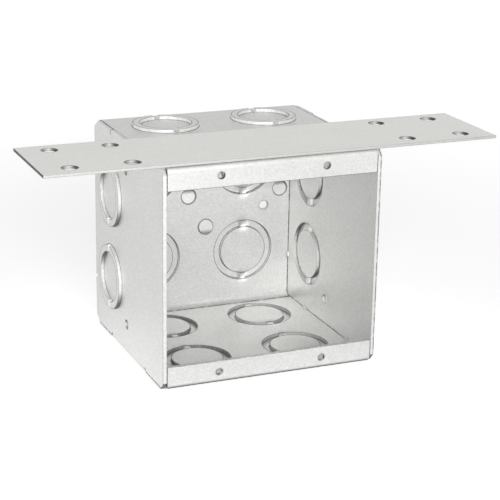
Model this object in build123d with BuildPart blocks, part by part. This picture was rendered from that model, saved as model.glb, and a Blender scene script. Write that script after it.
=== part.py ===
from build123d import *
import os

os.makedirs("parts", exist_ok=True)

# Box body, millimetres: a two gang masonry box, 3-3/4 x 3-11/16 x 3-1/2 inch
box_width = 95.25
box_height = 93.66
box_depth = 88.9
sheet = 1.6

# Folded wrap: outside bend radii, front flanges and the space at each flange end
rear_bend = 4.0
front_bend = 2.4
flange_height = 10.0
flange_end_gap = 0.25
flange_corner_r = 1.5
flange_lip_round = 0.3

# Device screw holes in the front flanges: two gangs, tapped for a No. 6 screw
device_pitch_x = 46.04
device_hole_inset = 5.16
device_hole_r = 1.753

# Concentric knockouts, half sheared: 7/8 inch disc inside a 1-1/8 inch ring
ring_r = 14.29
disc_r = 11.11
ring_lift = 1.5
slug_sink = 0.9
tie_width = 2.6

# Knockout positions
back_ko_pitch_x = 45.6
back_ko_pitch_z = 41.28
floor_ko_pitch_x = 45.6
floor_ko_pitch_y = 40.0
side_ko_pitch_z = 37.5
rear_ko_inset = 22.6

# Small round holes: two in each end plate, and the earth screw hole in the back
side_hole_r = 2.18
side_hole_setback = 46.2
side_hole_pitch_z = 68.4
earth_hole_r = 2.413
earth_hole_x = 33.0

# Small pry-out discs in the back wall, each tilted about one edge
pry_r = 3.5
pry_rise = 1.3
pry_hinge_step = 0.12
pry_mid_x = 4.1
pry_mid_z = 7.5
pry_side_x = 41.0

# End plates: corner cuts, relief notches, the softened lip and the open seam beside it
rear_cut_y = 5.0
rear_cut_z = 3.2
front_cut_y = 2.8
front_cut_z = 3.2
notch_width = 1.5
notch_depth = 1.9
rear_notch_pitch = 50.8
lip_round = 0.9
seam_break = 0.35

# Flat bar lying across the front of the top wall
bar_length = 196.85
bar_width = 44.45
bar_thick = 1.2
bar_shift = 3.1
bar_hole_r = 3.175
bar_hole_pitch_x = 25.4
bar_hole_pitch_y = 28.6
bar_hole_end = 25.4

# The frame: bar centred on X, depth centred on Y, knockout rings standing at Z zero
half_w = box_width / 2
half_h = box_height / 2
half_d = box_depth / 2
mid_x = -bar_shift
mid_y = -ring_lift / 2
mid_z = ring_lift + half_h
front_y = mid_y - half_d
back_y = mid_y + half_d
top_z = mid_z + half_h
wrap_half = half_w - sheet
mouth_height = box_height - 2 * flange_height
device_pitch_z = box_height - 2 * device_hole_inset

# Faces of the walls, each plane looking along the outward normal of its own face
section = Plane(origin=(mid_x, mid_y, mid_z), x_dir=(0, 1, 0), z_dir=(1, 0, 0))
front_out = Plane(origin=(mid_x, front_y, mid_z), x_dir=(1, 0, 0), z_dir=(0, -1, 0))
back_out = Plane(origin=(mid_x, back_y, mid_z), x_dir=(-1, 0, 0), z_dir=(0, 1, 0))
back_in = Plane(origin=(mid_x, back_y - sheet, mid_z), x_dir=(1, 0, 0), z_dir=(0, -1, 0))
top_out = Plane(origin=(mid_x, mid_y, top_z), x_dir=(1, 0, 0), z_dir=(0, 0, 1))
floor_out = Plane(origin=(mid_x, mid_y, mid_z - half_h), x_dir=(-1, 0, 0), z_dir=(0, 0, -1))
left_out = Plane(origin=(mid_x - half_w, mid_y, mid_z), x_dir=(0, -1, 0), z_dir=(-1, 0, 0))
right_out = Plane(origin=(mid_x + half_w, mid_y, mid_z), x_dir=(0, 1, 0), z_dir=(1, 0, 0))

# Knockout centres in the planes of their walls
rear_ko = half_d - rear_ko_inset
back_spots = [
    (x, z)
    for x in (-back_ko_pitch_x / 2, back_ko_pitch_x / 2)
    for z in (-back_ko_pitch_z / 2, back_ko_pitch_z / 2)
]
top_spots = [(x, rear_ko) for x in (-floor_ko_pitch_x / 2, floor_ko_pitch_x / 2)]
floor_spots = top_spots + [(x, y - floor_ko_pitch_y) for x, y in top_spots]
left_spots = [(-rear_ko, z) for z in (-side_ko_pitch_z / 2, side_ko_pitch_z / 2)]
right_spots = [(-y, z) for y, z in left_spots]

# One knockout as seen square on: the whole slug, and its ring in two arcs parted by the ties
with BuildSketch() as slug:
    Circle(ring_r)
with BuildSketch() as ring_arcs:
    Circle(ring_r)
    Circle(disc_r, mode=Mode.SUBTRACT)
    Rectangle(tie_width, 2 * ring_r, mode=Mode.SUBTRACT)

# One pry-out: a round wedge, thin at the hinge and thick at the lifted edge
with BuildPart() as pry_wedge:
    with BuildSketch():
        Circle(pry_r)
    extrude(amount=pry_rise)
    with BuildSketch(Plane.YZ):
        with BuildLine():
            Polyline(
                (-pry_r, 0),
                (pry_r, 0),
                (pry_r, pry_rise),
                (-pry_r, pry_hinge_step),
                close=True,
            )
        make_face()
    extrude(amount=pry_r, both=True, mode=Mode.INTERSECT)


def press(face, spots, outline, mode=Mode.ADD, depth=ring_lift):
    """Half shear one face of a wall: each outline moves along the face's normal by the depth."""
    with BuildSketch(face) as pattern:
        with Locations(*spots):
            add(outline.sketch)
    extrude(pattern.sketch, amount=depth, mode=mode)


# Folded wrap: front flange, top, back, floor and front flange in one sheet
with BuildPart() as box_wrap:
    with BuildSketch(section) as outer:
        Rectangle(box_depth, box_height)
        fillet(outer.vertices().group_by(Axis.X)[-1], radius=rear_bend)
        fillet(outer.vertices().group_by(Axis.X)[0], radius=front_bend)
    extrude(amount=wrap_half, both=True)
    with BuildSketch(section) as hollow:
        Rectangle(box_depth - 2 * sheet, box_height - 2 * sheet)
        fillet(hollow.vertices().group_by(Axis.X)[-1], radius=rear_bend - sheet)
        fillet(hollow.vertices().group_by(Axis.X)[0], radius=front_bend - sheet)
    extrude(amount=wrap_half, both=True, mode=Mode.SUBTRACT)

    # Mouth between the two flanges, with their free edges eased
    with BuildSketch(front_out):
        Rectangle(box_width, mouth_height)
    extrude(amount=-sheet, mode=Mode.SUBTRACT)
    lips = box_wrap.edges().filter_by(Axis.X).filter_by_position(
        Axis.Z, mid_z - mouth_height / 2 - flange_lip_round, mid_z + mouth_height / 2 + flange_lip_round
    )
    fillet(lips.group_by(Axis.Y)[0], radius=flange_lip_round)

    # Flange ends stand clear of the end plates, with their corners rounded
    with BuildSketch(front_out):
        Rectangle(box_width, box_height)
        RectangleRounded(2 * (wrap_half - flange_end_gap), box_height, flange_corner_r, mode=Mode.SUBTRACT)
    extrude(amount=-front_bend, mode=Mode.SUBTRACT)

    # Knockouts: rings and discs on the side that is looked at, plain slugs on the far side
    press(back_out, back_spots, slug)
    press(back_out.offset(-sheet), back_spots, ring_arcs, Mode.SUBTRACT)
    press(floor_out, floor_spots, slug)
    press(floor_out.offset(-sheet), floor_spots, ring_arcs, Mode.SUBTRACT)
    press(top_out, top_spots, ring_arcs)

    # Pry-outs: two pushed out at the top edge, and one pushed in at the bottom edge
    with Locations(back_out.offset(-sheet)):
        with Locations((pry_mid_x, pry_mid_z), (-pry_side_x, pry_mid_z)):
            add(pry_wedge.part, mode=Mode.SUBTRACT)
    with Locations(back_in.location * Location((pry_mid_x, -pry_mid_z, 0), (0, 0, 180))):
        add(pry_wedge.part)

    # Earth screw hole in the back wall
    with BuildSketch(back_out):
        with Locations((-earth_hole_x, 0)):
            Circle(earth_hole_r)
    extrude(amount=-sheet, mode=Mode.SUBTRACT)

    # Device screw holes
    with BuildSketch(front_out):
        with GridLocations(device_pitch_x, device_pitch_z, 2, 2):
            Circle(device_hole_r)
    extrude(amount=-sheet, mode=Mode.SUBTRACT)
box_wrap.part.label = "box_wrap"
export_step(box_wrap.part, "parts/box_wrap.step")

# End plate, left hand, before its knockouts: flat blank with cut corners and relief notches
with BuildPart() as plate_blank:
    with BuildSketch(left_out):
        with BuildLine():
            Polyline(
                (-half_d, 0),
                (-half_d, half_h - rear_cut_z),
                (-half_d + rear_cut_y, half_h),
                (half_d - front_cut_y, half_h),
                (half_d, half_h - front_cut_z),
                (half_d, 0),
            )
            mirror(about=Plane.XZ)
        make_face()
        with GridLocations(half_d, box_height, 2, 2):
            Rectangle(notch_width, 2 * notch_depth, mode=Mode.SUBTRACT)
        with Locations((-half_d, 0)):
            with GridLocations(notch_depth, rear_notch_pitch, 1, 2):
                Rectangle(2 * notch_depth, notch_width, mode=Mode.SUBTRACT)
    extrude(amount=-sheet)

    # Lip between the notches, rounded where the plate is dressed flush with the wrap
    long_edges = plate_blank.edges().filter_by(Axis.Y)
    fillet(long_edges.group_by(Axis.X)[0].group_by(SortBy.LENGTH)[-1], radius=lip_round)

    # Seam beside the lip, left open by the broken inner edges of the plate
    inner_edges = plate_blank.edges().filter_by(Axis.Y).group_by(Axis.X)[-1]
    seam = inner_edges.filter_by(lambda edge: 2 * notch_depth < edge.length < half_d / 2)
    chamfer(seam, length=seam_break)

    # Two small holes at mid depth, near the floor and near the top
    with BuildSketch(left_out):
        with Locations((half_d - side_hole_setback, 0)):
            with GridLocations(side_hole_pitch_z, side_hole_pitch_z, 1, 2):
                Circle(side_hole_r)
    extrude(amount=-sheet, mode=Mode.SUBTRACT)

# Left end plate, looked at from outside
with BuildPart() as left_end_plate:
    add(plate_blank.part)
    press(left_out, left_spots, ring_arcs)
    press(left_out.offset(-sheet), left_spots, slug, Mode.SUBTRACT, slug_sink)
left_end_plate.part.label = "left_end_plate"
export_step(left_end_plate.part, "parts/left_end_plate.step")

# Right end plate: the same blank in the opposite hand, looked at from inside
with BuildPart() as right_end_plate:
    mirror(plate_blank.part, about=Plane(origin=(mid_x, mid_y, mid_z), z_dir=(1, 0, 0)))
    press(right_out, right_spots, slug)
    press(right_out.offset(-sheet), right_spots, ring_arcs, Mode.SUBTRACT)
right_end_plate.part.label = "right_end_plate"
export_step(right_end_plate.part, "parts/right_end_plate.step")

# Mounting bar: flat strip on the top wall, four holes in a rectangle at each end
bar_mid_y = front_y + bar_width / 2
bar_group_x = bar_length / 2 - bar_hole_end
with BuildPart() as mounting_bar:
    with BuildSketch(Plane.XY.offset(top_z)):
        with Locations((0, bar_mid_y)):
            Rectangle(bar_length, bar_width)
            with GridLocations(2 * bar_group_x, 0, 2, 1):
                with GridLocations(bar_hole_pitch_x, bar_hole_pitch_y, 2, 2):
                    Circle(bar_hole_r, mode=Mode.SUBTRACT)
    extrude(amount=bar_thick)
mounting_bar.part.label = "mounting_bar"
export_step(mounting_bar.part, "parts/mounting_bar.step")
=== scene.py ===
import logging
import math
from dataclasses import dataclass, field, replace
from enum import Enum
from functools import reduce

import bpy
import numpy as np
from mathutils import Matrix, Vector


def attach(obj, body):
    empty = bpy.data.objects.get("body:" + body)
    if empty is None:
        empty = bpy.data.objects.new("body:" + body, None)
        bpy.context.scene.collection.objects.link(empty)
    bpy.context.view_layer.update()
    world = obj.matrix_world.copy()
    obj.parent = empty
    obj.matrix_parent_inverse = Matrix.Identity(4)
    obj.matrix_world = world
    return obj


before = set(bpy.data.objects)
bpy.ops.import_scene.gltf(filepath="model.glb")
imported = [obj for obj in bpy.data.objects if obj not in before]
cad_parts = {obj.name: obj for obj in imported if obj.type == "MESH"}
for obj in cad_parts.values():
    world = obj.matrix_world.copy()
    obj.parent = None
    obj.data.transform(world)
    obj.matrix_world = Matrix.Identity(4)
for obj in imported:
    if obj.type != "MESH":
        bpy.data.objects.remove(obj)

logging.basicConfig(level=logging.INFO, format="%(message)s")
log = logging.getLogger("masonry_box")

MM = 0.001
WHITE = (1.0, 1.0, 1.0, 1.0)
SIGNS = (-1.0, 1.0)
Socket = bpy.types.NodeSocket
Number = float | Socket
Pair = tuple[float, float]
Triple = tuple[float, float, float]


# Skins: closed numpy surfaces that become pieces

def skin_faces(rows: int, columns: int) -> tuple[np.ndarray, np.ndarray]:
    """Index the faces of a closed skin whose columns wrap round and whose two ends are poles.

    Vertex r * columns + c is row r, column c; the two poles follow the last row.

    Args:
        rows: Number of rows along the skin.
        columns: Number of points round each row.

    Returns:
        The quads between the rows, and the triangles from the end rows to the poles.
    """
    c = np.arange(columns)
    n = (c + 1) % columns
    start = np.full(columns, rows * columns)
    last = (rows - 1) * columns
    fans = np.concatenate([np.stack([n, c, start], axis=-1),
                           np.stack([c + last, n + last, start + 1], axis=-1)])
    return hoop_faces(rows, columns)[:last], fans


def hoop_faces(rows: int, columns: int) -> np.ndarray:
    """Index the quads of a hoop, whose rows and columns both wrap round.

    Args:
        rows: Number of rows round the hoop.
        columns: Number of points round each row.

    Returns:
        The quads, row by row, so that those from the last row to the first come last.
    """
    r = np.arange(rows)[:, None]
    c = np.arange(columns)[None, :]
    up, n = (r + 1) % rows, (c + 1) % columns
    corners = [r * columns + c, r * columns + n, up * columns + n, up * columns + c]
    return np.stack(corners, axis=-1).reshape(-1, 4)


def signed_volume(points: np.ndarray, triangles: np.ndarray) -> float:
    """Sum the volumes of the tetrahedra from the origin to each triangle; below zero is inside out."""
    a, b, c = (points[triangles[:, k]] for k in range(3))
    return float(np.einsum("ij,ij->i", a, np.cross(b, c)).sum() / 6.0)


def closed_skin(grid: np.ndarray, hoop: bool) -> tuple[np.ndarray, np.ndarray, np.ndarray]:
    """Close a grid of points, end to end or with a pole at each end, and turn its faces outwards.

    Args:
        grid: Points of shape (rows, columns, 3), in millimetres.
        hoop: Whether the last row joins the first.

    Returns:
        The points in metres, the quads and the triangles.
    """
    rows, columns, _ = grid.shape
    points = grid.reshape(-1, 3) * MM
    if hoop:
        quads, fans = hoop_faces(rows, columns), np.zeros((0, 3), dtype=int)
    else:
        quads, fans = skin_faces(rows, columns)
        points = np.concatenate([points, np.stack([grid[0].mean(axis=0), grid[-1].mean(axis=0)]) * MM])
    split = np.concatenate([quads[:, [0, 1, 2]], quads[:, [0, 2, 3]], fans])
    if signed_volume(points - points.mean(axis=0), split) < 0.0:
        quads, fans = quads[:, ::-1], fans[:, ::-1]
    return points, quads, fans


def make_piece(name: str, grids: list[np.ndarray], material: bpy.types.Material,
               smooth: bool, hoop: bool = False) -> bpy.types.Object:
    """Turn closed skins into one piece that rides on the box.

    Args:
        name: The piece's name.
        grids: One grid of points, in millimetres, for each skin.
        material: The finish of the piece.
        smooth: Whether the faces are shaded smooth.
        hoop: Whether each grid's last row joins its first, in place of a pole at each end.

    Returns:
        The new object, at the origin.
    """
    points: list[np.ndarray] = []
    faces: list[list[int]] = []
    first = 0
    for grid in grids:
        skin, quads, fans = closed_skin(grid, hoop)
        points.append(skin)
        faces += (quads + first).tolist() + (fans + first).tolist()
        first += len(skin)
    mesh = bpy.data.meshes.new(name)
    mesh.from_pydata(np.concatenate(points).tolist(), [], faces)
    mesh.polygons.foreach_set("use_smooth", np.full(len(faces), smooth))
    mesh.materials.append(material)
    mesh.update()
    piece = bpy.data.objects.new(name, mesh)
    bpy.context.scene.collection.objects.link(piece)
    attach(piece, "root")
    log.info("piece %s: %d faces", name, len(faces))
    return piece


# Finishes

class Bench:
    """Lays out the nodes of one material."""

    def __init__(self, tree: bpy.types.NodeTree) -> None:
        """Start on an empty tree."""
        self.tree = tree
        tree.nodes.clear()

    def add(self, kind: str, fed: dict[str | int, object] | None = None,
            **settings: object) -> bpy.types.Node:
        """Add a node, set its properties and feed its inputs.

        Args:
            kind: Blender's name of the node.
            fed: What goes to each input, by its name or place.
            settings: Property values of the node.

        Returns:
            The new node.
        """
        node = self.tree.nodes.new(kind)
        for key, value in settings.items():
            setattr(node, key, value)
        for key, value in (fed or {}).items():
            self.feed(node.inputs[key], value)
        return node

    def feed(self, socket: Socket, value: object) -> None:
        """Link an output to a socket, or set the socket's own value.

        Args:
            socket: The input that is fed.
            value: An output to link, or a plain value.
        """
        if isinstance(value, bpy.types.NodeSocket):
            self.tree.links.new(value, socket)
        else:
            socket.default_value = value

    def math(self, operation: str, *terms: Number) -> Socket:
        """Work out one of Blender's operations on numbers or sockets, given in order."""
        return self.add("ShaderNodeMath", dict(enumerate(terms)), operation=operation).outputs[0]

    def chain(self, operation: str, *terms: Number) -> Socket:
        """Carry one operation through several terms, one after another."""
        return reduce(lambda result, term: self.math(operation, result, term), terms)

    def total(self, *terms: Number) -> Socket:
        """Add several terms."""
        return self.chain("ADD", *terms)

    def product(self, *terms: Number) -> Socket:
        """Multiply several terms."""
        return self.chain("MULTIPLY", *terms)

    def minus(self, first: Number, second: Number) -> Socket:
        """Take the second term from the first."""
        return self.math("SUBTRACT", first, second)

    def size(self, value: Socket) -> Socket:
        """Drop a value's sign."""
        return self.math("ABSOLUTE", value)

    def above(self, value: Socket, limit: float) -> Socket:
        """Give 1 where a value is over a limit."""
        return self.math("GREATER_THAN", value, limit)

    def below(self, value: Socket, limit: float) -> Socket:
        """Give 1 where a value is under a limit."""
        return self.math("LESS_THAN", value, limit)

    def squares(self, u: Socket, v: Socket) -> Socket:
        """Add the squares of two values."""
        return self.total(self.product(u, u), self.product(v, v))

    def folded(self, value: Socket, middle: float, halves: tuple[float, ...]) -> Socket:
        """Fold an axis about a middle, and again at each half pitch, so that pitched places fall together."""
        return reduce(lambda off, half: self.minus(self.size(off), half), halves, self.minus(value, middle))

    def darken(self, tone: Socket, mask: Socket, amount: float) -> Socket:
        """Take an amount of a tone away where a mask is 1."""
        return self.product(tone, self.minus(1.0, self.product(mask, amount)))

    def parts(self, vector: Socket) -> list[Socket]:
        """Split a vector into X, Y and Z."""
        return list(self.add("ShaderNodeSeparateXYZ", {0: vector}).outputs)

    def stretched(self, place: Socket, scales: tuple[float, ...]) -> Socket:
        """Scale coordinates by a factor along each axis."""
        return self.add("ShaderNodeVectorMath", {0: place, 1: scales}, operation="MULTIPLY").outputs[0]

    def ramp(self, value: Socket, low: float, high: float, start: float, end: float) -> Socket:
        """Map a value's range from low to high smoothly onto start to end, and hold it at both."""
        fed = dict(enumerate((value, low, high, start, end)))
        return self.add("ShaderNodeMapRange", fed, interpolation_type="SMOOTHSTEP", clamp=True).outputs[0]

    def noise(self, place: Socket, scale: float, detail: float, weight: float = 0.55) -> Socket:
        """Sample fractal noise whose mean is zero.

        Args:
            place: The coordinates, in millimetres.
            scale: Cells in a millimetre.
            detail: Octaves above the first.
            weight: Weight of each octave beside the one before.

        Returns:
            The noise, from about -0.5 to 0.5.
        """
        fed = {"Vector": place, "Scale": scale, "Detail": detail, "Roughness": weight}
        node = self.add("ShaderNodeTexNoise", fed, noise_dimensions="3D")
        return self.minus(node.outputs["Fac"], 0.5)


class Axis(Enum):
    """The three axes of the frame, as the outputs of a Separate XYZ node."""

    X = 0
    Y = 1
    Z = 2


@dataclass(frozen=True)
class Pressing:
    """The marks that a punch leaves in one wall, as a material reads them.

    Across and along are the wall's own axes, with a knockout's ties at both ends of along. Each is folded
    about a middle, and again at each half pitch, so that one set of nodes serves every hole or knockout of
    the wall. Split is the level between the wall's two faces, and reach is how far from it the marks go.
    A disc is its place across and along, the side of its painted shade and the painted shade of its middle.
    Millimetres.
    """

    normal: Axis
    outward: int
    split: float
    reach: float
    across: Axis
    across_mid: float
    across_halves: tuple[float, ...]
    along: Axis
    along_mid: float
    along_halves: tuple[float, ...]
    discs: tuple[tuple[float, float, int, float], ...] = ()
    disc_r: float = 3.5
    lines: tuple[float, ...] = (11.11, 14.29)
    tie_r: float = 12.6
    dimple_depth: float = 0.75
    dimple_size: float = 1.6
    line_width: float = 0.3
    # Share taken off the scored sheared faces: the steel's own scored tone, set wall by wall as painted
    # shade, and as painted light where below zero
    shear_tone_and_shade: float = 0.0


@dataclass(frozen=True)
class DarkLine:
    """A dark line: an open joint, or painted shade along an edge, a lip or a fold, drawn between two heights
    and before a depth. Millimetres.

    Where an axis to face is given, only the faces that look along it, to the given side, show the line.
    """

    across: Axis
    at: float
    facing: Axis | None = None
    side: int = 1
    width: float = 0.45
    span: Pair = (-1.0, 200.0)
    before_y: float = 100.0


@dataclass(frozen=True)
class ZincFinish:
    """Hot dipped zinc on steel: a fine grain, soft clouds and rolling streaks, smoother edges with a painted
    dark outline, and painted shade in creases, on faces that look down, on the top and on the front faces.

    A tone is a share of the tint, and a rough value is added to the roughness. A noise is its cells in a
    millimetre, its octaves and the weight of each. A lean is a part of a unit normal. Millimetres.
    """

    name: str
    tint: Triple
    metallic: float
    roughness: float
    grain: float = 0.16
    fleck: float = 0.13
    cloud: float = 0.06
    streak: float = 0.05
    grain_noise: Triple = (1.9, 3.0, 0.65)
    cloud_noise: Pair = (0.055, 2.0)
    streak_noise: Pair = (1.0, 2.0)
    streak_scale: Triple = (0.02, 0.9, 0.9)
    fleck_scale: float = 1.6
    grain_bump: float = 0.019
    fleck_bump: float = 0.35
    cloud_bump: float = 0.05
    grain_rough: float = 0.16
    cloud_rough: float = 0.10
    edge_rough: float = -0.08
    edge_radius: float = 0.38
    edge_samples: int = 6
    edge_lean: Pair = (0.995, 0.80)
    edge_open: Pair = (0.80, 0.97)
    edge_shade_tone: float = -0.45
    crease_reach: float = 0.6
    crease_samples: int = 8
    crease_open: Pair = (0.46, 0.78)
    crease_shade_tone: float = 0.36
    under_lean: Pair = (-0.10, -0.70)
    under_shade_tone: float = 0.26
    cut_lean: Pair = (0.3, 0.7)
    cut_left_shade: Triple = (-0.95, -0.1, 0.80)
    cut_right_shade: Triple = (0.2, 0.95, 0.45)
    cut_tone_and_shade: float = 1.0
    flat_lean: float = 0.7
    line_fade: Pair = (0.35, 1.15)
    line_tone: float = 0.70
    disc_line: float = 1.3
    disc_fade: Pair = (0.20, 0.80)
    seam_fade: float = 0.4
    seam_noise: Pair = (0.45, 2.0)
    seam_break: Triple = (-0.16, 0.06, 0.35)
    joint_and_shade_tone: float = 0.70
    shear_margin: float = 0.4
    shear_rough: float = 0.30
    score_scale: Pair = (0.15, 2.4)
    score_noise: Pair = (1.0, 1.0)
    score_depth: Triple = (-0.15, 0.15, 0.6)
    lid_z: float = 90.0
    lid_lean: Pair = (0.60, 0.95)
    lid_shade_tone: float = 0.80
    mouth_y: float = -42.6
    mouth_lift: float = 0.65
    mouth_shade_tone: float = 0.92
    bend: Pair = (39.7, 5.5)
    bend_rough: float = 0.40

    def ring_line(self, bench: Bench, u: Socket, v: Socket, radius: float, width: float) -> Socket:
        """Give 1 on a circle about the local origin, fading to 0 at a line's width from it."""
        off = bench.size(bench.minus(bench.math("SQRT", bench.squares(u, v)), radius))
        return bench.ramp(off, self.line_fade[0] * width, self.line_fade[1] * width, 1.0, 0.0)

    def dark_line_mask(self, bench: Bench, place: list[Socket], normal: list[Socket], seam: DarkLine) -> Socket:
        """Give 1 on a dark line, an open joint or a painted shade line, fading to 0 at its width, on the
        faces that look its way.

        Args:
            bench: The material's bench.
            place: X, Y and Z in millimetres.
            normal: X, Y and Z of the face's normal.
            seam: The dark line.

        Returns:
            The line's mask.
        """
        _, y, z = place
        off = bench.size(bench.minus(place[seam.across.value], seam.at))
        line = bench.product(bench.ramp(off, self.seam_fade * seam.width, seam.width, 1.0, 0.0),
                             bench.above(z, seam.span[0]), bench.below(z, seam.span[1]),
                             bench.below(y, seam.before_y))
        if seam.facing is None:
            return line
        looks = bench.product(normal[seam.facing.value], float(seam.side))
        return bench.product(line, bench.above(looks, self.flat_lean))

    def painted_crescent(self, bench: Bench, u: Socket, v: Socket, radius: float, shade: float) -> Socket:
        """Paint shade on a tilted disc: 1 near its rim along v, fading to the painted shade of the rest
        towards the middle.
        """
        fade = (share * radius for share in self.disc_fade)
        return bench.product(bench.below(bench.squares(u, v), radius ** 2), bench.ramp(v, *fade, shade, 1.0))

    def disc_marks(self, bench: Bench, place: list[Socket], looks: Socket, press: Pressing) -> list[Socket]:
        """Draw the rim of each tilted disc, and its painted shade on the faces that look into the box.

        Args:
            bench: The material's bench.
            place: X, Y and Z in millimetres.
            looks: The normal's part along the wall's own normal.
            press: The wall's marks.

        Returns:
            The masks of the rims and of the painted shades.
        """
        marks: list[Socket] = []
        for across, along, side, shade in press.discs:
            u = bench.minus(place[press.across.value], across)
            v = bench.minus(place[press.along.value], along)
            marks.append(self.ring_line(bench, u, v, press.disc_r, self.disc_line * press.line_width))
            # painted shade on the disc, darkest at its deep side
            bent = self.painted_crescent(bench, u, bench.product(v, float(side)), press.disc_r, shade)
            marks.append(bench.product(bent, bench.below(bench.product(looks, float(press.outward)), 0.0)))
        return marks

    def press_marks(self, bench: Bench, place: list[Socket], normal: list[Socket],
                    press: Pressing) -> tuple[Socket, Socket, Socket]:
        """Work out one wall's dimples at the ties, its shear lines and its sheared faces.

        The dimple is a Gauss bell at each tie, towards the outside of the box. The lines follow the two shear
        circles of each knockout, on the faces that lie along the wall, and take in the rims and the painted
        shade of the tilted discs. The sheared faces are those that stand square to the wall near the circles.

        Args:
            bench: The material's bench.
            place: X, Y and Z in millimetres.
            normal: X, Y and Z of the face's normal.
            press: The wall's marks.

        Returns:
            Height along the surface's own normal in millimetres, the mask of the lines and of the faces.
        """
        u = bench.folded(place[press.across.value], press.across_mid, press.across_halves)
        v = bench.folded(place[press.along.value], press.along_mid, press.along_halves)
        depth = bench.minus(place[press.normal.value], press.split)
        out = bench.product(bench.math("SIGN", depth), float(press.outward))
        near = bench.below(bench.size(depth), press.reach)
        looks = normal[press.normal.value]
        flat = bench.above(bench.size(looks), self.flat_lean)
        on_wall = bench.product(near, flat)
        square = bench.product(near, bench.minus(1.0, flat))
        tie = bench.minus(bench.size(v), press.tie_r)
        bell = bench.math("EXPONENT", bench.product(bench.squares(u, tie), -0.5 / press.dimple_size ** 2))
        dimple = bench.product(bell, on_wall, press.dimple_depth, out)
        lines = [self.ring_line(bench, u, v, radius, press.line_width) for radius in press.lines]
        mask = bench.chain("MAXIMUM", *lines, *self.disc_marks(bench, place, looks, press))
        distance = bench.math("SQRT", bench.squares(u, v))
        sheared = bench.product(square, bench.below(distance, max(press.lines) + self.shear_margin))
        return dimple, bench.product(mask, on_wall), sheared

    def scores(self, bench: Bench, place: Socket, axis: Axis) -> Socket:
        """Draw the score lines that a punch leaves along its own way.

        Args:
            bench: The material's bench.
            place: The coordinates, in millimetres.
            axis: The punch's way.

        Returns:
            The lines' mask, from a least value to 1.
        """
        along, across = self.score_scale
        scales = tuple(along if axis.value == k else across for k in range(3))
        low, high, least = self.score_depth
        lines = bench.noise(bench.stretched(place, scales), *self.score_noise)
        return bench.ramp(lines, low, high, least, 1.0)

    def cut_edges(self, bench: Bench, normal: list[Socket]) -> Socket:
        """Work out the tone of the bar's sheared edges: raw steel, a little darker all round, with painted
        shade where it looks sideways, most where it looks left.

        Args:
            bench: The material's bench.
            normal: X, Y and Z of the face's normal.

        Returns:
            The tone, 1 on the flat faces.
        """
        x, _, z = normal
        left_low, left_high, left_most = self.cut_left_shade
        right_low, right_high, right_most = self.cut_right_shade
        sideways = bench.total(bench.ramp(x, left_low, left_high, left_most, 0.0),
                               bench.ramp(x, right_low, right_high, 0.0, right_most))
        lack = bench.total(1.0 - self.cut_tone_and_shade, bench.product(sideways, self.cut_tone_and_shade))
        cut = bench.ramp(bench.size(z), *self.cut_lean, 1.0, 0.0)
        return bench.minus(1.0, bench.product(cut, lack))

    def make(self, title: str, presses: tuple[Pressing, ...] = (),
             dark_lines: tuple[DarkLine, ...] = ()) -> bpy.types.Material:
        """Build the material.

        Args:
            title: What is added to the finish's name.
            presses: The walls whose punch marks the material shows.
            dark_lines: The open joints beside the walls, and the painted shade lines along edges, lips and
                folds.

        Returns:
            The material.
        """
        material = bpy.data.materials.new(f"{self.name}_{title}")
        material.use_nodes = True
        bench = Bench(material.node_tree)
        place = bench.stretched(bench.add("ShaderNodeTexCoord").outputs["Object"], (1.0 / MM,) * 3)
        xyz = bench.parts(place)
        _, y, z = xyz

        # Grain of the zinc: fine noise, soft clouds, rolling streaks and single crystals
        grain = bench.noise(place, *self.grain_noise)
        cloud = bench.noise(place, *self.cloud_noise)
        streak = bench.noise(bench.stretched(place, self.streak_scale), *self.streak_noise)
        cells = bench.add("ShaderNodeTexVoronoi", {"Vector": place, "Scale": self.fleck_scale},
                          voronoi_dimensions="3D", feature="F1")
        cell = bench.add("ShaderNodeSeparateColor", {0: cells.outputs["Color"]})
        fleck = bench.minus(cell.outputs[0], 0.5)

        # Edges, where the rounded normal leans from the face's own, get a painted dark outline, and creases,
        # where little sky is seen, get painted shade
        bevel = bench.add("ShaderNodeBevel", {"Radius": self.edge_radius * MM}, samples=self.edge_samples)
        rounded = bevel.outputs[0]
        geometry = bench.add("ShaderNodeNewGeometry")
        face = geometry.outputs["True Normal"]
        lean = bench.add("ShaderNodeVectorMath", {0: rounded, 1: face}, operation="DOT_PRODUCT")
        edge = bench.ramp(lean.outputs["Value"], *self.edge_lean, 0.0, 1.0)
        normal = bench.parts(face)
        hollow = bench.add("ShaderNodeAmbientOcclusion", {"Distance": self.crease_reach * MM},
                           samples=self.crease_samples, only_local=False)
        sky = hollow.outputs["AO"]
        crease_shade = bench.ramp(sky, *self.crease_open, self.crease_shade_tone, 1.0)
        # the painted shade in creases is lifted on the front faces of the box
        mouth = bench.below(y, self.mouth_y)
        lift = bench.product(mouth, self.mouth_lift)
        crease_shade = bench.total(crease_shade, bench.product(bench.minus(1.0, crease_shade), lift))
        # painted dark outline on the open edges, left off in creases
        rim = bench.product(edge, bench.ramp(sky, *self.edge_open, 0.0, self.edge_shade_tone))

        # Painted shade on faces that look down, and on the top of the box
        slope = bench.parts(geometry.outputs["Normal"])[Axis.Z.value]
        high = bench.above(z, self.lid_z)
        under = bench.product(bench.ramp(slope, *self.under_lean, 0.0, 1.0), bench.minus(1.0, high))
        lid_shade = bench.product(bench.ramp(slope, *self.lid_lean, 0.0, 1.0), high)

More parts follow.
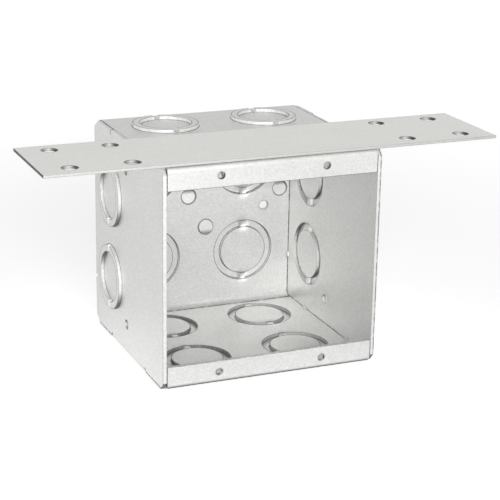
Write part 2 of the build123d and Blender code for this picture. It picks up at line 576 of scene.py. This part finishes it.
        height = bench.total(bench.product(grain, self.grain_bump),
                             bench.product(fleck, self.grain_bump * self.fleck_bump),
                             bench.product(cloud, self.cloud_bump))
        tone = bench.total(1.0, bench.product(grain, self.grain), bench.product(fleck, self.fleck),
                           bench.product(cloud, self.cloud), bench.product(streak, self.streak), rim)
        # painted shade in creases and on faces that look down
        tone = bench.darken(bench.product(tone, crease_shade), under, 1.0 - self.under_shade_tone)
        # painted shade on the top of the box
        tone = bench.darken(tone, lid_shade, 1.0 - self.lid_shade_tone)
        # painted shade on the front faces of the box
        tone = bench.darken(tone, mouth, 1.0 - self.mouth_shade_tone)
        # the bar's cut edges: raw steel, with painted shade where they look sideways
        if self.cut_tone_and_shade < 1.0:
            tone = bench.product(tone, self.cut_edges(bench, normal))
        bent = bench.product(bench.above(y, self.bend[0]), bench.below(z, self.bend[1]))
        rough = bench.total(self.roughness, bench.product(grain, self.grain_rough),
                            bench.product(cloud, self.cloud_rough), bench.product(edge, self.edge_rough),
                            bench.product(bent, self.bend_rough))
        for press in presses:
            dimple, line, sheared = self.press_marks(bench, xyz, normal, press)
            height = bench.total(height, dimple)
            tone = bench.darken(tone, line, self.line_tone)
            # scored sheared faces: the steel's own tone, set wall by wall as painted shade, and as painted
            # light where the share is below zero
            scored = bench.product(sheared, self.scores(bench, place, press.normal))
            tone = bench.darken(tone, scored, press.shear_tone_and_shade)
            rough = bench.total(rough, bench.product(sheared, self.shear_rough))
        # dark lines: open joints, and painted shade along edges, lips and folds
        low, full, least = self.seam_break
        broken = bench.ramp(bench.noise(place, *self.seam_noise), low, full, least, 1.0)
        for seam in dark_lines:
            line = bench.product(self.dark_line_mask(bench, xyz, normal, seam), broken)
            tone = bench.darken(tone, line, self.joint_and_shade_tone)

        colour = bench.add("ShaderNodeVectorMath", {0: self.tint, "Scale": tone}, operation="SCALE")
        bump = bench.add("ShaderNodeBump", {
            "Strength": 1.0, "Distance": MM, "Height": height, "Normal": rounded})
        shader = bench.add("ShaderNodeBsdfPrincipled", {
            "Metallic": self.metallic, "Base Color": colour.outputs[0], "Roughness": rough,
            "Normal": bump.outputs[0]})
        bench.add("ShaderNodeOutputMaterial", {"Surface": shader.outputs[0]})
        return material


# Sub-assemblies

def astride(middle: float, half: float) -> Pair:
    """Give the two places that lie half a pitch each side of a middle."""
    return middle - half, middle + half


class Press(Enum):
    """How a knockout's ring stands on the face that shows: raised off it or sunk into it."""

    RAISED = 1
    SUNK = -1


@dataclass
class KnockoutWall:
    """One wall's concentric knockouts: the bent ends of the ring beside each tie. Millimetres.

    Across, along and proud are the wall's axes, with the ties at both ends of along and proud pointing
    off the face that shows.
    """

    name: str
    spots: list[Triple]
    across: Triple
    along: Triple
    proud: Triple
    press: Press
    ring_r: float = 14.29
    disc_r: float = 11.11
    lift: float = 1.5
    tie_width: float = 2.6
    run: float = 0.7
    embed: float = 0.05
    slack: float = 0.02
    sink: float = 0.012
    root: float = 0.15
    least: float = 0.01
    shoulder: float = 0.18
    shoulder_power: int = 6
    edge_break: float = 0.2
    edge_round: float = 0.06
    lap: float = 0.4
    crown: Pair = (0.30, 0.70)
    hub: float = 0.5
    bridge_steps: int = 7
    steps_along: int = 11
    steps_across: int = 9
    steps_round: int = 96

    def placed(self, spot: Triple, u: np.ndarray, v: np.ndarray, h: np.ndarray) -> np.ndarray:
        """Carry wall coordinates to the frame: spot + u across + v along + h proud."""
        axes = np.array([self.across, self.along, self.proud])
        return np.array(spot) + np.stack([u, v, h], axis=-1) @ axes

    def ramp_grid(self, spot: Triple, u_sign: float, v_sign: float) -> np.ndarray:
        """Shape the bent end of a ring as a wedge that falls off beside one tie.

        The first parameter s runs along u from the high end to the low end, and the height falls as half
        a cosine wave. The second runs round the wedge's section: up the inner arc, across the top with a
        rounded shoulder at each arc, and down the outer arc. At a radius r, v is the root of r squared
        less u squared, so the sides follow the two shear circles.

        Args:
            spot: Centre of the knockout on the face that shows.
            u_sign: Side of the tie.
            v_sign: Which of the two ties.

        Returns:
            The wedge's grid of points.
        """
        s = np.linspace(0.0, 1.0, self.steps_along)[:, None]
        high = 0.0 if self.press is Press.SUNK else self.lift
        low = high - self.lift
        tie = 0.5 * self.tie_width
        if self.press is Press.SUNK:
            u = tie - self.embed + s * (self.run + self.embed)
        else:
            u = tie + self.embed - s * (self.run + self.embed)
        fall = 0.5 - 0.5 * np.cos(np.pi * s)
        top = high - self.sink - fall * (self.lift + self.slack)
        base = low - self.root
        gap = self.embed if self.press is Press.SUNK else -self.slack
        inner, outer = self.disc_r - gap, self.ring_r + gap
        t = np.concatenate([[0.0], np.linspace(0.0, 1.0, self.steps_across), [1.0]])[None, :]
        radius = inner + t * (outer - inner)
        shoulder = self.shoulder * np.abs(2.0 * t - 1.0) ** self.shoulder_power
        floor = np.zeros_like(t)
        floor[0, 0] = floor[0, -1] = 1.0
        h = np.where(floor > 0.0, base, np.maximum(top - shoulder, base + self.least))
        u = np.broadcast_to(u, h.shape)
        v = np.sqrt(radius ** 2 - u ** 2)
        return self.placed(spot, u_sign * u, v_sign * v, h)

    def build_ties(self, material: bpy.types.Material) -> bpy.types.Object:
        """Make the bent ring ends of every knockout of the wall as one piece, in the given finish."""
        grids = [self.ramp_grid(spot, u, v) for spot in self.spots for u in SIGNS for v in SIGNS]
        return make_piece(f"{self.name}_ring_ends", grids, material, smooth=False)

    def disc_grid(self, spot: Triple) -> np.ndarray:
        """Shape a knockout's flat disc: a profile with a broken edge, turned about the disc's axis.

        Args:
            spot: Centre of the knockout on the face that shows.

        Returns:
            The disc's grid of points.
        """
        r, foot = self.disc_r, -self.lift - self.embed
        inner, outer = (share * r for share in self.crown)
        profile = np.array([[inner, -self.slack], [outer, 0.0], [r - self.edge_break, 0.0],
                            [r - self.edge_round, -self.edge_round], [r, -self.edge_break], [r, foot],
                            [self.hub * r, foot]])
        turn = np.linspace(0.0, 2.0 * np.pi, self.steps_round, endpoint=False)[None, :]
        u = profile[:, :1] * np.cos(turn)
        v = profile[:, :1] * np.sin(turn)
        h = np.broadcast_to(profile[:, 1:], u.shape)
        return self.placed(spot, u, v, h)

    def bridge_grid(self, spot: Triple, v_sign: float) -> np.ndarray:
        """Shape a tie as a straight strip from the disc to the wall, its section carried along v.

        Args:
            spot: Centre of the knockout on the face that shows.
            v_sign: Which of the two ties.

        Returns:
            The strip's grid of points.
        """
        tie = 0.5 * self.tie_width
        u = np.array([-tie, -tie, -0.5 * tie, 0.0, 0.5 * tie, tie, tie])[None, :]
        h = np.full_like(u, -self.sink)
        h[0, [0, -1]] = -self.lift - self.embed
        v = np.linspace(self.disc_r - self.lap, self.ring_r + self.embed, self.bridge_steps)[:, None]
        u, v, h = np.broadcast_arrays(u, v, h)
        return self.placed(spot, u, v_sign * v, h)

    def build_discs(self, material: bpy.types.Material) -> bpy.types.Object:
        """Fill a plain pressed recess with the disc and ties of each knockout, in the given finish."""
        grids = [*map(self.disc_grid, self.spots),
                 *(self.bridge_grid(spot, v) for spot in self.spots for v in SIGNS)]
        return make_piece(f"{self.name}_discs", grids, material, smooth=False)


@dataclass
class TappedHoles:
    """Threaded sleeves in holes that run along Y. Millimetres."""

    name: str
    spots: list[Pair]
    y_from: float
    y_to: float
    major_r: float
    minor_r: float
    pitch: float = 0.794
    gap: float = 0.02
    flank: float = 1.3
    crest: float = 0.15
    steps_round: int = 48
    steps_along: int = 23

    def sleeve_grid(self, spot: Pair) -> np.ndarray:
        """Shape a tapped sleeve: a plain ring in the hole, with a thread cut in its inside.

        The first parameter runs round the hole, the second round the section: up the outside, over the
        front face and down the inside. The inside is the minor radius, plus the depth times a flat topped
        triangle wave of the way along the hole less the angle, so that the wave climbs one pitch a turn.

        Args:
            spot: X and Z of the hole's axis.

        Returns:
            The sleeve's grid of points.
        """
        angle = np.linspace(0.0, 2.0 * np.pi, self.steps_round, endpoint=False)[:, None]
        inside = np.linspace(self.y_from + self.gap, self.y_to - self.gap, self.steps_along)
        y = np.concatenate([[self.y_to - self.gap, self.y_from + self.gap], inside])[None, :]
        turns = (y - self.y_from) / self.pitch - angle / (2.0 * np.pi)
        wave = 1.0 - np.abs(2.0 * np.mod(turns, 1.0) - 1.0)
        groove = np.clip(self.flank * wave - self.crest, 0.0, 1.0)
        radius = self.minor_r + (self.major_r - self.gap - self.minor_r) * groove
        radius[:, :2] = self.major_r + self.gap
        x = spot[0] + radius * np.cos(angle)
        z = spot[1] + radius * np.sin(angle)
        return np.stack([x, np.broadcast_to(y, x.shape), z], axis=-1)

    def build(self, material: bpy.types.Material) -> bpy.types.Object:
        """Make the threads of all holes as one piece, in the given finish."""
        grids = [self.sleeve_grid(spot) for spot in self.spots]
        return make_piece(self.name, grids, material, smooth=False, hoop=True)


@dataclass
class TackSpots:
    """Small weld spots that hold an end plate to the wrap at its notches. Millimetres."""

    name: str
    spots: list[tuple[Triple, Axis]]
    half_length: float = 1.7
    radius: float = 1.1
    end_angle: float = 1.45
    ripple: float = 0.06
    waves: int = 5
    steps_along: int = 19
    steps_round: int = 28

    def bead_grid(self, spot: Triple, along: Axis) -> np.ndarray:
        """Shape one spot: a bead along the seam, three quarters of it sunk in the two walls.

        The first parameter s runs from end to end of the bead, the second round it. The radius is the
        root of 1 less s squared, with a low ripple of five waves.

        Args:
            spot: Middle of the bead, on the seam.
            along: The seam's axis.

        Returns:
            The bead's grid of points.
        """
        s = np.sin(np.linspace(-self.end_angle, self.end_angle, self.steps_along))[:, None]
        turn = np.linspace(0.0, 2.0 * np.pi, self.steps_round, endpoint=False)[None, :]
        radius = self.radius * np.sqrt(1.0 - s * s) * (1.0 + self.ripple * np.cos(self.waves * np.pi * s))
        grid = np.zeros((s.shape[0], turn.shape[1], 3))
        grid[..., along.value] = self.half_length * s
        grid[..., (along.value + 1) % 3] = radius * np.cos(turn)
        grid[..., (along.value + 2) % 3] = radius * np.sin(turn)
        return np.array(spot) + grid

    def build(self, material: bpy.types.Material) -> bpy.types.Object:
        """Make all the spots of one plate as one piece, in the given finish."""
        grids = [self.bead_grid(spot, along) for spot, along in self.spots]
        return make_piece(self.name, grids, material, smooth=True)


@dataclass
class BoxShell:
    """The folded wrap and the two end plates, with their knockouts and tapped holes. Millimetres."""

    finish: ZincFinish
    mid_x: float = -3.1
    mid_z: float = 48.33
    front_y: float = -45.2
    sheet: float = 1.6
    back_in: float = 42.1
    fold_y: float = 38.5
    rear_edge_y: float = 41.0
    lip_z: Pair = (11.5, 85.16)
    floor_in: float = 3.1
    top_out: float = 95.16
    top_in: float = 93.56
    left_out: float = -50.725
    left_in: float = -49.125
    right_in: float = 42.925
    ko_x: float = 22.8
    back_ko_z: float = 20.64
    floor_ko_y: float = 20.0
    floor_mid_y: float = 1.1
    rear_ko_y: float = 21.1
    side_ko_z: float = 18.75
    left_recess: float = 0.9
    back_mark: Pair = (43.65, 3.0)
    floor_mark: Pair = (1.55, 1.8)
    top_mark: Pair = (94.4, 2.5)
    right_mark: Pair = (44.475, 2.0)
    left_mark: Pair = (-50.4, 2.0)
    device_x: float = 23.02
    device_z: float = 41.67
    device_r: Pair = (1.753, 1.37)
    device_rim: float = 1.42
    earth: Pair = (29.9, 48.33)
    earth_r: Pair = (2.413, 2.02)
    earth_rim: float = 2.12
    rim_reach: float = 0.3
    rim_width: float = 0.22
    bore_depth: float = 0.9
    bore_width: float = 0.85
    foot_reach: float = 2.4
    far_z: float = 200.0
    # each pry-out: place across and along, side of its painted shade, painted shade of its middle
    pry_outs: tuple[tuple[float, float, int, float], ...] = (
        (-7.2, 55.83, 1, 0.0), (37.9, 55.83, 1, 0.36), (1.0, 40.83, -1, 0.31))
    notch_y: Pair = (-22.975, 21.475)
    rear_notch_z: Pair = (22.93, 73.73)

    def wall_marks(self) -> tuple[Pressing, ...]:
        """List the punch marks of the wrap.

        Returns:
            The marks of the back, of the left and right half of the floor, and of the top.
        """
        # sheared faces: painted shade on the floor, painted light on the back and the top
        back = Pressing(Axis.Y, 1, *self.back_mark, Axis.X, self.mid_x, (self.ko_x,),
                        Axis.Z, self.mid_z, (self.back_ko_z,), discs=self.pry_outs, shear_tone_and_shade=-0.12)
        floor_left = Pressing(Axis.Z, -1, *self.floor_mark, Axis.X, self.mid_x - self.ko_x, (),
                              Axis.Y, self.floor_mid_y, (self.floor_ko_y,), line_width=0.42, shear_tone_and_shade=0.55)
        floor_right = replace(floor_left, across_mid=self.mid_x + self.ko_x, shear_tone_and_shade=0.15)
        top = Pressing(Axis.Z, 1, *self.top_mark, Axis.X, self.mid_x, (self.ko_x,),
                       Axis.Y, self.rear_ko_y, (), dimple_depth=0.25, dimple_size=1.1, line_width=0.5,
                       shear_tone_and_shade=-0.20)
        return back, floor_left, floor_right, top

    def plate_marks(self, right: bool) -> tuple[Pressing, ...]:
        """List the punch marks of one end plate.

        Args:
            right: Whether it is the right plate.

        Returns:
            The plate's marks.
        """
        left = Pressing(Axis.X, -1, *self.left_mark, Axis.Y, self.rear_ko_y, (), Axis.Z, self.mid_z,
                        (self.side_ko_z,), dimple_depth=0.3, dimple_size=1.4)
        if not right:
            return (left,)
        split, reach = self.right_mark
        # painted light on the right plate's sheared faces
        return (replace(left, outward=1, split=split, reach=reach, dimple_depth=0.75, shear_tone_and_shade=-0.45),)

    def tap_marks(self) -> tuple[Pressing, ...]:
        """List the dark rims of the tapped holes.

        Returns:
            The rims of the device holes and of the earth screw's hole.
        """
        device = Pressing(Axis.Y, -1, self.front_y, self.rim_reach, Axis.X, self.mid_x, (self.device_x,),
                          Axis.Z, self.mid_z, (self.device_z,), lines=(self.device_rim,), dimple_depth=0.0,
                          line_width=self.rim_width)
        earth = Pressing(Axis.Y, 1, self.back_in, self.rim_reach, Axis.X, self.earth[0], (),
                         Axis.Z, self.earth[1], (), lines=(self.earth_rim,), dimple_depth=0.0,
                         line_width=self.rim_width)
        return device, earth

    def wrap_dark_lines(self) -> tuple[DarkLine, ...]:
        """List the lines that show on the wrap.

        Returns:
            The open joints at its two ends, and painted shade lines at its flanges' lips, its foot, its fold
            and its top's rear edge.
        """
        above_top = (self.top_in, self.far_z)
        fold = DarkLine(Axis.Y, self.fold_y, Axis.Z, width=1.1, span=(-1.0, self.mid_z))
        edge = DarkLine(Axis.Y, self.rear_edge_y, Axis.Z, width=1.2, span=above_top)
        ends = [DarkLine(Axis.X, self.left_in), DarkLine(Axis.X, self.right_in),
                DarkLine(Axis.X, self.left_in, Axis.X, -1), DarkLine(Axis.X, self.right_in, Axis.X, 1),
                DarkLine(Axis.X, self.right_in, Axis.Z, width=0.7, span=above_top)]
        face_y = self.front_y + self.sheet / 2
        lips = [DarkLine(Axis.Z, at, Axis.Y, -1, width=0.35, before_y=face_y) for at in self.lip_z]
        foot = DarkLine(Axis.Z, self.floor_in - self.sheet, width=1.4, before_y=self.front_y + self.foot_reach)
        return *ends, *lips, foot, fold, edge

    def plate_dark_lines(self, right: bool) -> tuple[DarkLine, ...]:
        """List the lines that show on one end plate.

        Args:
            right: Whether it is the right plate.

        Returns:
            The joints where the wrap meets it, and painted shade lines along its cut edges.
        """
        side = -1 if right else 1
        lines = ((Axis.Z, self.floor_in), (Axis.Z, self.top_in), (Axis.Y, self.back_in))
        joints = [DarkLine(axis, at, Axis.X, side, width=0.3) for axis, at in lines]
        if right:
            joints.append(DarkLine(Axis.X, self.right_in + self.sheet, Axis.Y, -1, width=0.7))
        else:
            edges = (self.front_y, self.back_in + self.sheet)
            joints += [DarkLine(Axis.Y, at, Axis.X, -1, width=0.5) for at in edges]
            joints.append(DarkLine(Axis.Z, self.floor_in - self.sheet, width=1.1))
        return tuple(joints)

    def tack_spots(self, name: str, x: float) -> TackSpots:
        """Lay out the weld spots of the end plate whose inside is at x."""
        spots = [((x, y, z), Axis.Y) for y in self.notch_y for z in (self.floor_in, self.top_in)]
        return TackSpots(name, spots + [((x, self.back_in, z), Axis.Z) for z in self.rear_notch_z])

    def walls(self) -> dict[str, KnockoutWall]:
        """Lay out the knockouts of each wall, on the face where ring and disc are parted.

        Returns:
            The walls, by name.
        """
        xs = astride(self.mid_x, self.ko_x)
        back_z = astride(self.mid_z, self.back_ko_z)
        floor_y = astride(self.floor_mid_y, self.floor_ko_y)
        side_z = astride(self.mid_z, self.side_ko_z)
        x, y, z = (1.0, 0.0, 0.0), (0.0, 1.0, 0.0), (0.0, 0.0, 1.0)
        less_x, less_y = (-1.0, 0.0, 0.0), (0.0, -1.0, 0.0)
        back = [(a, self.back_in, b) for a in xs for b in back_z]
        floor = [(a, b, self.floor_in) for a in xs for b in floor_y]
        top = [(a, self.rear_ko_y, self.top_out) for a in xs]
        left, left_inner, right = ([(at, self.rear_ko_y, b) for b in side_z]
                                   for at in (self.left_out, self.left_in, self.right_in))
        return {
            "back": KnockoutWall("back", back, x, z, less_y, Press.SUNK),
            "floor": KnockoutWall("floor", floor, x, y, z, Press.SUNK),
            "top": KnockoutWall("top", top, x, y, z, Press.RAISED),
            "left": KnockoutWall("left", left, y, z, less_x, Press.RAISED),
            "left_inner": KnockoutWall("left_inner", left_inner, y, z, x, Press.SUNK, lift=self.left_recess),
            "right": KnockoutWall("right", right, y, z, less_x, Press.SUNK),
        }

    def threads(self) -> tuple[TappedHoles, TappedHoles]:
        """Lay out the threads of the tapped holes.

        Returns:
            The threads of the four device holes and of the earth screw's hole.
        """
        zs = astride(self.mid_z, self.device_z)
        device = [(x, z) for x in astride(self.mid_x, self.device_x) for z in zs]
        front, back = self.front_y, self.back_in
        return (TappedHoles("device_threads", device, front, front + self.sheet, *self.device_r),
                TappedHoles("earth_thread", [self.earth], back, back + self.sheet, *self.earth_r))

    def build(self) -> None:
        """Dress the three CAD nodes and add the ring ends, discs, threads and weld spots."""
        wrap = self.finish.make("wrap", self.wall_marks(), self.wrap_dark_lines())
        # the plates take no painted shade on their front faces
        plate = replace(self.finish, mouth_shade_tone=1.0)
        left = plate.make("left_plate", self.plate_marks(right=False), self.plate_dark_lines(right=False))
        # the right plate: lighter painted shade in creases and fainter ring lines
        less_shaded_plate = replace(plate, crease_shade_tone=0.6, line_tone=0.55)
        right = less_shaded_plate.make("right_plate", self.plate_marks(right=True), self.plate_dark_lines(right=True))
        # pressed pieces: lighter painted shade in creases and on faces that look down
        plain = replace(self.finish, roughness=0.5, crease_shade_tone=0.8, under_shade_tone=0.6).make("pressed")
        dress("box_wrap", wrap)
        dress("left_end_plate", left)
        dress("right_end_plate", right)
        walls = self.walls()
        for wall in walls.values():
            wall.build_ties(plain)
        walls["left_inner"].build_discs(plain)
        tapped = replace(self.finish, roughness=0.5, under_shade_tone=0.6, edge_radius=0.06, edge_shade_tone=0.0,
                         joint_and_shade_tone=0.9)
        # painted shade inside the tapped bores, a little way in from the front
        dark = DarkLine(Axis.Y, self.front_y + self.bore_depth, width=self.bore_width)
        bore = tapped.make("tapped", self.tap_marks(), (dark,))
        for holes in self.threads():
            holes.build(bore)
        self.tack_spots("left_tack_spots", self.left_in).build(plain)
        self.tack_spots("right_tack_spots", self.right_in).build(plain)


@dataclass
class MountingBar:
    """The flat strip across the top of the box, with four punched holes at each end. Millimetres."""

    finish: ZincFinish
    mid_y: float = -22.975
    mid_z: float = 95.76
    group_x: float = 73.025
    hole_half_x: float = 12.7
    hole_half_y: float = 14.3
    hole_r: float = 3.175
    rim_reach: float = 1.0
    rim_width: float = 0.55

    def hole_marks(self) -> tuple[Pressing, ...]:
        """List the dark lines round the eight holes."""
        return (Pressing(Axis.Z, 1, self.mid_z, self.rim_reach, Axis.X, 0.0, (self.group_x, self.hole_half_x),
                         Axis.Y, self.mid_y, (self.hole_half_y,), lines=(self.hole_r,), dimple_depth=0.0,
                         line_width=self.rim_width),)

    def build(self) -> None:
        """Dress the bar's CAD node."""
        dress("mounting_bar", self.finish.make("strip", self.hole_marks()))


def dress(node: str, material: bpy.types.Material) -> None:
    """Give a CAD node its finish.

    Args:
        node: The node's name.
        material: The finish.
    """
    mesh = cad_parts[node].data
    mesh.materials.clear()
    mesh.materials.append(material)
    log.info("node %s: %s", node, material.name)


# Studio

@dataclass
class Lamp:
    """One soft rectangular lamp, in metres and watts."""

    name: str
    place: Triple
    aim: Triple
    width: float
    height: float
    watts: float

    def build(self) -> None:
        """Hang the lamp and turn it to what it lights."""
        light = bpy.data.lights.new(self.name, "AREA")
        light.shape = "RECTANGLE"
        light.size = self.width
        light.size_y = self.height
        light.energy = self.watts
        lamp = bpy.data.objects.new(self.name, light)
        lamp.location = self.place
        lamp.rotation_euler = (Vector(self.aim) - Vector(self.place)).to_track_quat("-Z", "Y").to_euler()
        lamp.visible_camera = False
        bpy.context.scene.collection.objects.link(lamp)


@dataclass
class Studio:
    """A white sweep, soft lamps and the camera of the photograph."""

    camera_place: Triple = (-0.249048, -0.600882, 0.252890)
    azimuth: float = -22.96694
    elevation: float = 17.9177
    roll: float = 1.00233
    lens: float = 113.27
    sensor: float = 36.0
    clip_start: float = 0.01
    floor_half: float = 6.0
    floor_level: float = -0.0002
    floor_steps: int = 24
    fill: float = 0.02
    near_glow: float = 0.80
    far_glow: float = 1.0
    near_shine: float = 0.70
    glow_reach: Pair = (0.14, 0.60)
    shine_reach: Pair = (0.10, 0.90)
    floor_tint: tuple[float, float, float, float] = (0.85, 0.85, 0.845, 1.0)
    lamps: list[Lamp] = field(default_factory=lambda: [
        Lamp("front_lamp", (-0.22, -0.95, 0.25), (0.0, 0.0, 0.05), 0.5, 0.5, 4.3),
        Lamp("front_high_lamp", (-0.22, -0.95, 0.42), (0.0, 0.0, 0.05), 0.5, 0.5, 1.8),
        Lamp("front_left_lamp", (-0.55, -0.86, 0.25), (0.0, 0.0, 0.05), 0.6, 0.6, 0.95),
        Lamp("left_lamp", (-1.7, 0.0, 0.6), (0.0, 0.0, 0.05), 1.2, 1.2, 2.6),
    ])

    def build_camera(self) -> None:
        """Set the camera where the photograph was taken from, by its azimuth, elevation and roll."""
        az, el, roll = (math.radians(a) for a in (self.azimuth, self.elevation, self.roll))
        behind = Vector((math.sin(az) * math.cos(el), -math.cos(az) * math.cos(el), math.sin(el)))
        right = Vector((math.cos(az), math.sin(az), 0.0))
        up = behind.cross(right)
        x = math.cos(roll) * right + math.sin(roll) * up
        y = -math.sin(roll) * right + math.cos(roll) * up
        turn = Matrix((x, y, behind)).transposed().to_4x4()
        data = bpy.data.cameras.new("photo_camera")
        data.lens = self.lens
        data.sensor_width = self.sensor
        data.sensor_fit = "HORIZONTAL"
        data.clip_start = self.clip_start
        camera = bpy.data.objects.new("photo_camera", data)
        camera.matrix_world = Matrix.Translation(self.camera_place) @ turn
        bpy.context.scene.collection.objects.link(camera)
        bpy.context.scene.camera = camera

    def build_world(self) -> None:
        """Fill the room with white for the camera and for reflections, and with softer light for the rest."""
        world = bpy.data.worlds.new("white_room")
        world.use_nodes = True
        bpy.context.scene.world = world
        bench = Bench(world.node_tree)
        path = bench.add("ShaderNodeLightPath")
        rays = (path.outputs[f"Is {kind} Ray"] for kind in ("Camera", "Glossy", "Transmission"))
        seen = bench.chain("MAXIMUM", *rays)
        white = bench.add("ShaderNodeBackground", {"Color": WHITE})
        soft = bench.add("ShaderNodeBackground", {"Color": WHITE, "Strength": self.fill})
        mix = bench.add("ShaderNodeMixShader", {0: seen, 1: soft.outputs[0], 2: white.outputs[0]})
        bench.add("ShaderNodeOutputWorld", {"Surface": mix.outputs[0]})

    def build_floor(self) -> None:
        """Lay a white floor just under the box: it keeps the box's shadow and has a glow of its own."""
        row = self.floor_steps + 1
        span = np.linspace(-self.floor_half, self.floor_half, row)
        x, y = np.meshgrid(span, span)
        points = np.stack([x, y, np.full_like(x, self.floor_level)], axis=-1).reshape(-1, 3)
        first = np.arange(self.floor_steps)[:, None] * row + np.arange(self.floor_steps)[None, :]
        quads = np.stack([first, first + 1, first + row + 1, first + row], axis=-1).reshape(-1, 4)
        mesh = bpy.data.meshes.new("studio_floor")
        mesh.from_pydata(points.tolist(), [], quads.tolist())
        material = bpy.data.materials.new("white_sweep")
        material.use_nodes = True
        bench = Bench(material.node_tree)
        paper = bench.add("ShaderNodeBsdfDiffuse", {"Color": self.floor_tint})
        path = bench.add("ShaderNodeLightPath")
        seen = bench.math("MAXIMUM", path.outputs["Is Camera Ray"], path.outputs["Is Transmission Ray"])
        coords = bench.add("ShaderNodeTexCoord").outputs["Object"]
        reach = bench.add("ShaderNodeVectorMath", {0: coords}, operation="LENGTH").outputs["Value"]
        level = bench.ramp(reach, *self.glow_reach, self.near_glow, self.far_glow)
        shine = bench.ramp(reach, *self.shine_reach, self.near_shine, self.far_glow)
        mirrored = bench.product(path.outputs["Is Glossy Ray"], shine)
        strength = bench.total(bench.product(seen, level), mirrored)
        glow = bench.add("ShaderNodeEmission", {"Strength": strength})
        both = bench.add("ShaderNodeAddShader", {0: paper.outputs[0], 1: glow.outputs[0]})
        bench.add("ShaderNodeOutputMaterial", {"Surface": both.outputs[0]})
        mesh.materials.append(material)
        floor = bpy.data.objects.new("studio_floor", mesh)
        bpy.context.scene.collection.objects.link(floor)

    def build(self) -> None:
        """Set up the camera, the room, the floor and the lamps."""
        bpy.context.scene.view_settings.view_transform = "Standard"
        self.build_camera()
        self.build_world()
        self.build_floor()
        for lamp in self.lamps:
            lamp.build()


def main() -> None:
    """Build the studio, and dress the box and its bar."""
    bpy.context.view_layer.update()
    Studio().build()
    sheet = ZincFinish("zinc_sheet", (0.82, 0.82, 0.81), metallic=0.75, roughness=0.40)
    # the bar: lighter painted shade under it, no painted shade on its top or front, and cut edges of raw
    # steel with painted shade
    strip = ZincFinish("zinc_strip", (0.85, 0.85, 0.825), metallic=0.68, roughness=0.55, grain=0.09,
                       fleck=0.07, streak=0.04, grain_bump=0.010, under_shade_tone=0.8, cut_tone_and_shade=0.72, lid_shade_tone=1.0,
                       mouth_shade_tone=1.0, shear_rough=0.0)
    BoxShell(sheet).build()
    MountingBar(strip).build()


if __name__ == "__main__":
    main()
